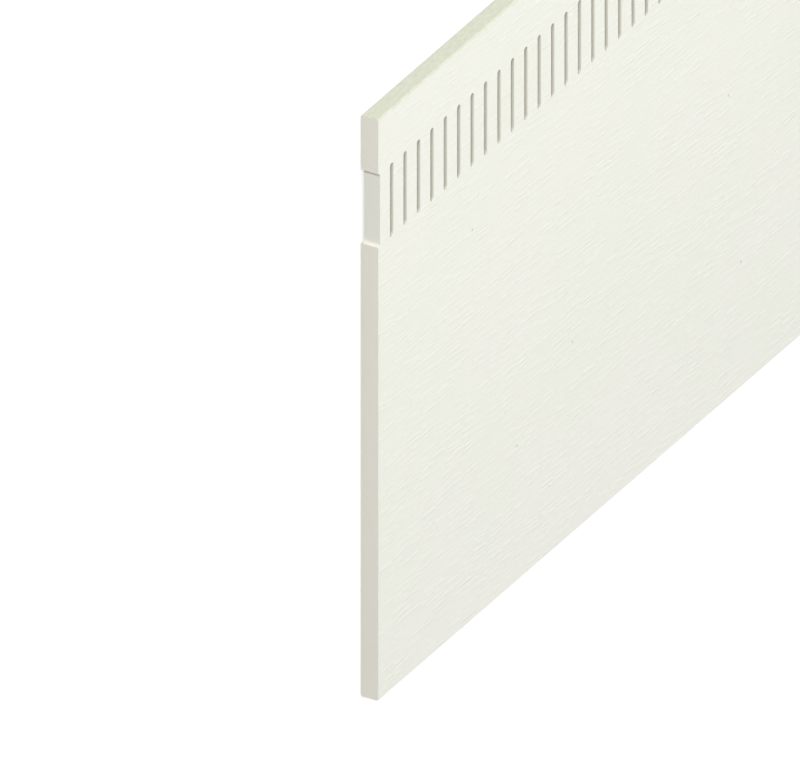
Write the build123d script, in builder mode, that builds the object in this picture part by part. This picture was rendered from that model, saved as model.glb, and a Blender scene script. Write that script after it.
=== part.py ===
from build123d import *
import os

# vented soffit board: one length of white foamed plastic plank, lying on its back
# X runs along the board, Y across it towards the slotted edge, Z up out of the embossed face
# the origin is on the ground, in the middle of the board's outline

# the board
length = 2500.0
width = 300.0
thickness = 9.0
front_arris_radius = 1.0
back_arris_radius = 0.3

# the row of vent slots, each across the board and round at its ends
slot_width = 3.0
slot_length = 38.0
slot_pitch = 12.0
slot_edge_margin = 28.0
far_end_land = 12.0
slot_end_sides = 12  # a whole turn of a slot's round end is drawn with this many flat sides

# the shallow channel behind the slots, where insect mesh is stuck on
recess_depth = 0.8
recess_side_margin = 0.25

near_end_x = -length / 2
slot_straight = slot_length - slot_width
slot_centre_y = width / 2 - slot_edge_margin - slot_length / 2
recess_width = slot_length + 2 * recess_side_margin

# the near end is cut through the middle of the first slot, and the far end is cut clear of the last
slot_count = int((length - far_end_land - slot_width / 2) / slot_pitch) + 1
slot_row_centre_x = near_end_x + (slot_count - 1) * slot_pitch / 2

with BuildPart() as soffit_board:
    # the extruded section, with its rounded arrises and the channel in its back
    with BuildSketch(Plane.YZ.offset(near_end_x)) as section:
        Rectangle(width, thickness, align=(Align.CENTER, Align.MIN))
        arrises = section.vertices().group_by(Axis.Z)
        fillet(arrises[-1], front_arris_radius)
        fillet(arrises[0], back_arris_radius)
        with Locations((slot_centre_y, 0)):
            Rectangle(recess_width, recess_depth, align=(Align.CENTER, Align.MIN), mode=Mode.SUBTRACT)
    extrude(amount=length)

    # the slots, cut right through: each is its two round ends and the straight between them
    with BuildSketch(Plane.XY.offset(thickness)) as slot_row:
        with Locations((slot_row_centre_x, slot_centre_y)):
            with GridLocations(slot_pitch, slot_straight, slot_count, 2):
                RegularPolygon(slot_width / 2, slot_end_sides)
            with GridLocations(slot_pitch, slot_pitch, slot_count, 1):
                Rectangle(slot_width, slot_straight)
    extrude(amount=-thickness, mode=Mode.SUBTRACT)

soffit_board.part.label = "soffit_board"

os.makedirs("parts", exist_ok=True)
export_step(soffit_board.part, "parts/soffit_board.step")
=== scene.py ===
import math

import bpy
from mathutils import Matrix, Vector


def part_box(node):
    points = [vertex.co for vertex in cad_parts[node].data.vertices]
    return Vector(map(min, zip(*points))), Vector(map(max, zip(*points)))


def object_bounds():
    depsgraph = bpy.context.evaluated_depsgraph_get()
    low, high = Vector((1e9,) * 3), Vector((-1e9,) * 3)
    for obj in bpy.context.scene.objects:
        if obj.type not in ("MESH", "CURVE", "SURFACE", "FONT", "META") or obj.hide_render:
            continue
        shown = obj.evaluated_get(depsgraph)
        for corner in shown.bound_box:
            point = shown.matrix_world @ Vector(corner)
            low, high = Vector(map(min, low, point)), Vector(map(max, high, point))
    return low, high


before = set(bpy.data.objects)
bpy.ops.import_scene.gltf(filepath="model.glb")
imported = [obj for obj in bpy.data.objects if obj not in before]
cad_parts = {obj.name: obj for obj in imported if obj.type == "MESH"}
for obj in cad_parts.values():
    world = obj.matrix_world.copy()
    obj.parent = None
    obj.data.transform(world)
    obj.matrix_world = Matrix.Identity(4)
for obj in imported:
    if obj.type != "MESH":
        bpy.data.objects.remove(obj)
cad_lo, cad_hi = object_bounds()

# the board's own sizes, from the frame
NODE = "soffit_board"
board_lo, board_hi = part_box(NODE)
half_width = board_hi.y
half_length = board_hi.x

# the photograph's frame, the board's near lower corner in it, and its scale
PHOTO_WIDTH = 800
PHOTO_HEIGHT = 757
CORNER_PX = (378.3, 701.2)
PX_PER_METRE = 2236.0

# the photograph's view, with the board on edge: from 30 degrees up and 60 degrees round from its face
VIEW_RISE = math.radians(30)
VIEW_TURN = math.radians(60)
VIEW_RIGHT = Vector((math.cos(VIEW_TURN), 0.0, math.sin(VIEW_TURN)))
VIEW_BACK = Vector((
    -math.sin(VIEW_TURN) * math.cos(VIEW_RISE),
    math.sin(VIEW_RISE),
    math.cos(VIEW_TURN) * math.cos(VIEW_RISE),
))
VIEW_UP = VIEW_BACK.cross(VIEW_RIGHT)
CAMERA_BACK = 5.0
CAMERA_REACH = 100.0

# the light: a level is what a white face turned to that light would render as
WORLD_LEVEL = 0.35
KEY_LEVEL, KEY_TOWARDS, KEY_SPREAD = 0.255, Vector((0.0, 0.30, 0.95)), math.radians(30)
SIDE_LEVEL, SIDE_TOWARDS, SIDE_SPREAD = 0.525, Vector((-0.63, 0.75, 0.20)), math.radians(15)
FILL_LEVEL, FILL_TOWARDS, FILL_SPREAD = 0.32, Vector((0.62, -0.72, 0.30)), math.radians(40)

# a long soft lamp over the slotted edge, a little yellow-green
STRIP_POWER = 4.2
STRIP_COLOR = (0.96, 1.0, 0.82)
STRIP_LENGTH = 4.5
STRIP_DEPTH = 0.4
STRIP_OUT = 0.2
STRIP_UP = 0.5
STRIP_TOWARDS = Vector((0.0, 0.6, 1.0))

# the floor, a hair under the board: the grey that it bounces, and the grey and glow that the camera sees
FLOOR_REACH = 300.0
FLOOR_GAP = 0.0003
FLOOR_BOUNCE = 0.45
FLOOR_SHOWN = 0.4
FLOOR_GLOW = 0.72
WHITE = (1, 1, 1, 1)

# the parts of the surface, each by where its mask starts and where it is whole
# first how upright the normal is on a cut wall, an arris and the face, and how endwise on an end wall; the
# arris takes the long edges' darker tone from almost flat on, as painted shade in place of a bright line
# along it
WALL_UPRIGHT = (0.5, 0.4)
SHADED_ARRIS_UPRIGHT = (0.998, 0.965)
FACE_UPRIGHT = (0.3, 0.9)
WALL_ENDWISE = (0.4, 0.5)
# then how far in from a long edge the spot lies, and how far in from an end
SLOT_INSET = (0.0005, 0.0012)
SAWN_INSET = (0.0010, 0.0003)

# the embossed grain, whose lines wander: each grid is in cells to the metre, along and across the board
GRAIN_DEPTH = 0.00024
EDGE_EMBOSSING = 0.5
WANDER_GRID = (14, 30, 0)
WANDER_REACH = 0.006
RIDGE_GRID = (90, 720, 0)
BOLD_GRID = (84, 430, 0)
FAINT_GRID = (130, 500, 0)
FAINT_SHIFT = (11, 5, 0)

# the grain fades in and out along the board, down to its least strength
FADE_GRID = (30, 90, 0)
FADE_SHIFT = (3, 7, 0)
FADE_SPAN = (0.36, 0.58)
FADE_LEAST = 0.45

# fine lines at an even spacing: their phase in radians to the metre, and the noise that bends them
LINE_RATE = 2200.0
LINE_BEND = 14.0
BEND_GRID = (32, 70, 0)
BEND_SHIFT = (5, 2, 0)

# a tick's half width and half length in cells, each from where it ends to where it is whole
TICK_HALF_WIDTH = (0.34, 0.06)
TICK_HALF_LENGTH = (0.55, 0.30)
# the draws between which a tick grows to full strength, and the heights between which it counts as a crest
# and gets the painted highlight
TICK_DRAW = (0.05, 0.75)
TICK_CREST_HIGHLIGHT = (0.1, 0.9)

# the shares of the ridges, lines and ticks in the relief, and of the faint ticks beside the bold ones
RIDGE_SHARE = 0.5
LINE_SHARE = 0.065
TICK_SHARE = 0.44
FAINT_SHARE = 0.5

# the skin: its tone drifts slowly, and a painted highlight makes it lighter on the crest of each of the
# grain's ticks
SKIN = (0.903, 0.898, 0.846, 1)
SKIN_DRIFTED = (0.895, 0.895, 0.831, 1)
SKIN_CREST_HIGHLIGHT = (0.929, 0.930, 0.867, 1)
DRIFT_GRID = 11.0
TONE_SPAN = (0.35, 0.65)

# small dark flecks in the skin, one to a cell
FLECK_COLOR = (0.25, 0.24, 0.20, 1)
FLECK_GRID = (7.5, 7.5, 0)
FLECK_SHIFT = (0.37, 0.21, 0)
FLECK_RADIUS = (0.0065, 0.003)
FLECK_STRENGTH = 0.35

# the long edges are yellower than the face, with fine marks along them, and darker as painted shade for the
# lesser light they get
SHADED_EDGE_DARK = (0.697, 0.713, 0.586, 1)
SHADED_EDGE_LIGHT = (0.764, 0.778, 0.658, 1)
MARK_GRID = (210, 0, 900)
MARK_SHIFT = (4, 0, 9)

# the foam core where it is cut, a touch cooler in the milled slots than on the sawn ends, and its cells
MILLED_CORE = (0.853, 0.840, 0.770, 1)
SAWN_CORE = (0.861, 0.834, 0.757, 1)
PORE_GRID = 2600.0
PORE_DEPTH = 0.00006

SKIN_ROUGHNESS = 0.45
CORE_ROUGHNESS = 0.8
SPECULAR = 0.35


class Nodes:
    """Short calls for building one node tree."""

    def __init__(self, tree):
        self.tree = tree
        tree.nodes.clear()

    def add(self, kind, **settings):
        node = self.tree.nodes.new(kind)
        for name, value in settings.items():
            setattr(node, name, value)
        return node

    def link(self, out, socket):
        self.tree.links.new(out, socket)

    def feed(self, socket, value):
        if isinstance(value, bpy.types.NodeSocket):
            self.link(value, socket)
        elif value is not None:
            socket.default_value = value

    def math(self, operation, a, b=None):
        node = self.add("ShaderNodeMath", operation=operation)
        self.feed(node.inputs[0], a)
        self.feed(node.inputs[1], b)
        return node.outputs[0]

    def plus(self, a, b):
        return self.math("ADD", a, b)

    def times(self, a, b):
        return self.math("MULTIPLY", a, b)

    def larger(self, a, b):
        return self.math("MAXIMUM", a, b)

    def absolute(self, a):
        return self.math("ABSOLUTE", a)

    def split(self, vector):
        node = self.add("ShaderNodeSeparateXYZ")
        self.link(vector, node.inputs[0])
        return node.outputs

    def ramp(self, value, low, high, to_low=0.0, to_high=1.0):
        node = self.add("ShaderNodeMapRange", interpolation_type="SMOOTHSTEP")
        self.feed(node.inputs["Value"], value)
        limits = (("From Min", low), ("From Max", high), ("To Min", to_low), ("To Max", to_high))
        for name, number in limits:
            node.inputs[name].default_value = number
        return node.outputs["Result"]

    def stretched(self, point, scale, shift=(0, 0, 0)):
        node = self.add("ShaderNodeMapping")
        self.feed(node.inputs["Vector"], point)
        node.inputs["Scale"].default_value = scale
        node.inputs["Location"].default_value = shift
        return node.outputs["Vector"]

    def noise(self, point, scale=1.0, detail=2.0, roughness=0.5):
        node = self.add("ShaderNodeTexNoise")
        self.feed(node.inputs["Vector"], point)
        node.inputs["Scale"].default_value = scale
        node.inputs["Detail"].default_value = detail
        node.inputs["Roughness"].default_value = roughness
        return node.outputs["Fac"]

    def strewn(self, point):
        """Points strewn on a plane, one to each unit cell."""
        node = self.add("ShaderNodeTexVoronoi", voronoi_dimensions="2D")
        self.link(point, node.inputs["Vector"])
        node.inputs["Scale"].default_value = 1.0
        return node.outputs

    def ticks(self, point, scale, shift=(0, 0, 0)):
        """Short thin ticks, one to a cell of a grid of the given scale, of uneven strength."""
        point = self.stretched(point, scale, shift)
        nearest = self.strewn(point)
        apart = self.add("ShaderNodeVectorMath", operation="SUBTRACT")
        self.link(point, apart.inputs[0])
        self.link(nearest["Position"], apart.inputs[1])
        reach = self.split(apart.outputs[0])
        draw = self.add("ShaderNodeSeparateColor")
        self.link(nearest["Color"], draw.inputs[0])
        thin = self.ramp(self.absolute(reach["Y"]), *TICK_HALF_WIDTH)
        short = self.ramp(self.absolute(reach["X"]), *TICK_HALF_LENGTH)
        strong = self.ramp(draw.outputs[0], *TICK_DRAW)
        return self.times(strong, self.times(thin, short))

    def bump(self, height, depth, under=None):
        node = self.add("ShaderNodeBump")
        node.inputs["Strength"].default_value = 1.0
        node.inputs["Distance"].default_value = depth
        self.feed(node.inputs["Height"], height)
        self.feed(node.inputs["Normal"], under)
        return node.outputs["Normal"]

    def mix_color(self, factor, a, b):
        node = self.add("ShaderNodeMix", data_type="RGBA")
        self.feed(node.inputs["Factor"], factor)
        self.feed(node.inputs[6], a)
        self.feed(node.inputs[7], b)
        return node.outputs[2]


def grey(level):
    return (level, level, level, 1)


def surface_masks(n, spot, facing):
    """Masks of the cut foam core, the sawn ends, the skin that wraps a long edge with its arris, where
    painted shade goes, and what is embossed.
    """
    upright = n.absolute(facing["Z"])
    slot_start, slot_whole = SLOT_INSET
    sawn_start, sawn_whole = SAWN_INSET
    inside = n.ramp(n.absolute(spot["Y"]), half_width - slot_start, half_width - slot_whole)
    endwise = n.ramp(n.absolute(facing["X"]), *WALL_ENDWISE)
    off_edge = n.larger(inside, endwise)
    core = n.times(n.ramp(upright, *WALL_UPRIGHT), off_edge)
    sawn = n.ramp(n.absolute(spot["X"]), half_length - sawn_start, half_length - sawn_whole)
    # painted shade: the long edges and their arrises get the darker edge tone
    wrapped_and_shaded = n.times(n.ramp(upright, *SHADED_ARRIS_UPRIGHT), n.math("SUBTRACT", 1.0, off_edge))
    embossed = n.larger(n.ramp(facing["Z"], *FACE_UPRIGHT), n.times(wrapped_and_shaded, EDGE_EMBOSSING))
    return core, sawn, wrapped_and_shaded, embossed


def wood_grain(n, place, spot, embossed):
    """The relief of ridges, fine even lines and short ticks in two sizes, and the mask for the painted
    highlight on each tick's crest.
    """
    wander = n.noise(n.stretched(place, WANDER_GRID), detail=1.0)
    across = n.plus(n.plus(spot["Y"], spot["Z"]), n.times(wander, WANDER_REACH))
    joined = n.add("ShaderNodeCombineXYZ")
    n.link(spot["X"], joined.inputs["X"])
    n.link(across, joined.inputs["Y"])
    along = joined.outputs[0]

    ridges = n.noise(n.stretched(along, RIDGE_GRID), detail=1.0, roughness=0.35)
    bend = n.noise(n.stretched(along, BEND_GRID, BEND_SHIFT), detail=1.0)
    lines = n.math("SINE", n.plus(n.times(across, LINE_RATE), n.times(bend, LINE_BEND)))
    faint = n.ticks(along, FAINT_GRID, FAINT_SHIFT)
    ticks = n.plus(n.ticks(along, BOLD_GRID), n.times(faint, FAINT_SHARE))

    fade = n.noise(n.stretched(along, FADE_GRID, FADE_SHIFT), detail=2.0)
    strength = n.times(n.ramp(fade, *FADE_SPAN, to_low=FADE_LEAST), embossed)
    relief = n.plus(n.times(ridges, RIDGE_SHARE), n.times(lines, LINE_SHARE))
    relief = n.plus(relief, n.times(ticks, TICK_SHARE))
    # the second mask is where the painted highlight goes, on each tick's crest
    return n.times(relief, strength), n.times(n.ramp(ticks, *TICK_CREST_HIGHLIGHT), strength)


def surface_tone(n, place, crest_highlight, core, sawn, wrapped_and_shaded):
    """The board's colour: the skin with its drift, painted highlight on each tick's crest, and flecks, then
    the long edges and arrises, darker partly by painted shade, and the core.
    """
    drift = n.noise(place, scale=DRIFT_GRID, detail=3.0)
    tone = n.mix_color(n.ramp(drift, *TONE_SPAN), SKIN, SKIN_DRIFTED)
    # painted highlight: each tick's crest gets a lighter tone where the light would catch it
    tone = n.mix_color(crest_highlight, tone, SKIN_CREST_HIGHLIGHT)
    flecks = n.strewn(n.stretched(place, FLECK_GRID, FLECK_SHIFT))
    fleck = n.ramp(flecks["Distance"], *FLECK_RADIUS)
    tone = n.mix_color(n.times(fleck, FLECK_STRENGTH), tone, FLECK_COLOR)

    marks = n.noise(n.stretched(place, MARK_GRID, MARK_SHIFT), detail=2.0, roughness=0.6)
    # the edge tone is yellower by its own colour and darker by painted shade; the marks are its own
    edge = n.mix_color(n.ramp(marks, *TONE_SPAN), SHADED_EDGE_DARK, SHADED_EDGE_LIGHT)
    tone = n.mix_color(wrapped_and_shaded, tone, edge)
    return n.mix_color(core, tone, n.mix_color(sawn, MILLED_CORE, SAWN_CORE))


def foamed_plastic():
    """White foamed plastic with an embossed skin and a fine-celled core."""
    mat = bpy.data.materials.new("foamed_plastic")
    mat.use_nodes = True
    n = Nodes(mat.node_tree)
    place = n.add("ShaderNodeTexCoord").outputs["Object"]
    spot = n.split(place)
    facing = n.split(n.add("ShaderNodeNewGeometry").outputs["True Normal"])

    core, sawn, wrapped_and_shaded, embossed = surface_masks(n, spot, facing)
    relief, crest_highlight = wood_grain(n, place, spot, embossed)
    cells = n.times(n.noise(place, scale=PORE_GRID, detail=2.0, roughness=0.6), core)

    shader = n.add("ShaderNodeBsdfPrincipled")
    n.link(surface_tone(n, place, crest_highlight, core, sawn, wrapped_and_shaded), shader.inputs["Base Color"])
    n.link(n.ramp(core, 0.0, 1.0, SKIN_ROUGHNESS, CORE_ROUGHNESS), shader.inputs["Roughness"])
    shader.inputs["Specular IOR Level"].default_value = SPECULAR
    n.link(n.bump(cells, PORE_DEPTH, under=n.bump(relief, GRAIN_DEPTH)), shader.inputs["Normal"])
    out = n.add("ShaderNodeOutputMaterial")
    n.link(shader.outputs[0], out.inputs["Surface"])
    return mat


def floor_white():
    """White to the camera, but for the object's soft shadow, and grey in the light that it bounces."""
    mat = bpy.data.materials.new("pale_floor")
    mat.use_nodes = True
    n = Nodes(mat.node_tree)
    path = n.add("ShaderNodeLightPath")
    seen = n.larger(path.outputs["Is Camera Ray"], path.outputs["Is Glossy Ray"])
    seen = n.larger(seen, path.outputs["Is Transmission Ray"])
    bounce = n.add("ShaderNodeBsdfDiffuse")
    bounce.inputs["Color"].default_value = grey(FLOOR_BOUNCE)
    shown = n.add("ShaderNodeBsdfDiffuse")
    shown.inputs["Color"].default_value = grey(FLOOR_SHOWN)
    glow = n.add("ShaderNodeEmission")
    glow.inputs["Color"].default_value = WHITE
    glow.inputs["Strength"].default_value = FLOOR_GLOW
    white = n.add("ShaderNodeAddShader")
    n.link(shown.outputs[0], white.inputs[0])
    n.link(glow.outputs[0], white.inputs[1])
    mix = n.add("ShaderNodeMixShader")
    n.link(seen, mix.inputs["Fac"])
    n.link(bounce.outputs[0], mix.inputs[1])
    n.link(white.outputs[0], mix.inputs[2])
    out = n.add("ShaderNodeOutputMaterial")
    n.link(mix.outputs[0], out.inputs["Surface"])
    return mat


def pale_floor():
    """A wide floor just under the board."""
    level = cad_lo.z - FLOOR_GAP
    signs = ((-1, -1), (1, -1), (1, 1), (-1, 1))
    corners = [(x * FLOOR_REACH, y * FLOOR_REACH, level) for x, y in signs]
    mesh = bpy.data.meshes.new("floor")
    mesh.from_pydata(corners, [], [(0, 1, 2, 3)])
    floor = bpy.data.objects.new("floor", mesh)
    bpy.context.collection.objects.link(floor)
    mesh.materials.append(floor_white())


def world_light():
    """Soft light from all round, which the camera sees as white."""
    world = bpy.data.worlds.new("soft_room")
    world.use_nodes = True
    n = Nodes(world.node_tree)
    path = n.add("ShaderNodeLightPath")
    seen = n.larger(path.outputs["Is Camera Ray"], path.outputs["Is Transmission Ray"])
    sky = n.add("ShaderNodeBackground")
    sky.inputs["Color"].default_value = WHITE
    n.link(n.ramp(seen, 0.0, 1.0, WORLD_LEVEL, 1.0), sky.inputs["Strength"])
    out = n.add("ShaderNodeOutputWorld")
    n.link(sky.outputs[0], out.inputs["Surface"])
    bpy.context.scene.world = world


def turned_lamp(name, lamp, towards):
    """The lamp's object, turned so that its light comes from the given side."""
    lamp_object = bpy.data.objects.new(name, lamp)
    lamp_object.rotation_mode = "QUATERNION"
    lamp_object.rotation_quaternion = towards.to_track_quat("Z", "Y")
    bpy.context.collection.objects.link(lamp_object)
    return lamp_object


def sun(name, level, towards, spread):
    """A soft sun that makes no highlight, so that the satin face doesn't glare when seen from low down."""
    lamp = bpy.data.lights.new(name, "SUN")
    lamp.energy = level * math.pi
    lamp.angle = spread
    turned_lamp(name, lamp, towards).visible_glossy = False


def edge_strip():
    """The long soft lamp over the slotted edge, which the camera doesn't see."""
    lamp = bpy.data.lights.new("edge_strip", "AREA")
    lamp.shape = "RECTANGLE"
    lamp.size = STRIP_LENGTH
    lamp.size_y = STRIP_DEPTH
    lamp.energy = STRIP_POWER
    lamp.color = STRIP_COLOR
    lamp_object = turned_lamp("edge_strip", lamp, STRIP_TOWARDS)
    lamp_object.location = (0.0, half_width + STRIP_OUT, STRIP_UP)
    lamp_object.visible_camera = False


def lamps():
    sun("key_sun", KEY_LEVEL, KEY_TOWARDS, KEY_SPREAD)
    sun("side_sun", SIDE_LEVEL, SIDE_TOWARDS, SIDE_SPREAD)
    sun("fill_sun", FILL_LEVEL, FILL_TOWARDS, FILL_SPREAD)
    edge_strip()


def camera():
    """A parallel view from the photograph's side, with the board's near lower corner at its place there."""
    corner = Vector((board_lo.x, board_lo.y, board_hi.z))
    across = (PHOTO_WIDTH / 2 - CORNER_PX[0]) / PX_PER_METRE
    above = (CORNER_PX[1] - PHOTO_HEIGHT / 2) / PX_PER_METRE
    target = corner + VIEW_RIGHT * across + VIEW_UP * above
    data = bpy.data.cameras.new("camera")
    data.type = "ORTHO"
    data.ortho_scale = PHOTO_WIDTH / PX_PER_METRE
    data.clip_end = CAMERA_REACH
    cam = bpy.data.objects.new("camera", data)
    turn = Matrix((VIEW_RIGHT, VIEW_UP, VIEW_BACK)).transposed().to_4x4()
    cam.matrix_world = Matrix.Translation(target + VIEW_BACK * CAMERA_BACK) @ turn
    bpy.context.collection.objects.link(cam)
    bpy.context.scene.camera = cam


board = bpy.data.objects[NODE]
board.material_slots[0].material = foamed_plastic()
pale_floor()
world_light()
lamps()
camera()
bpy.context.scene.view_settings.view_transform = "Standard"
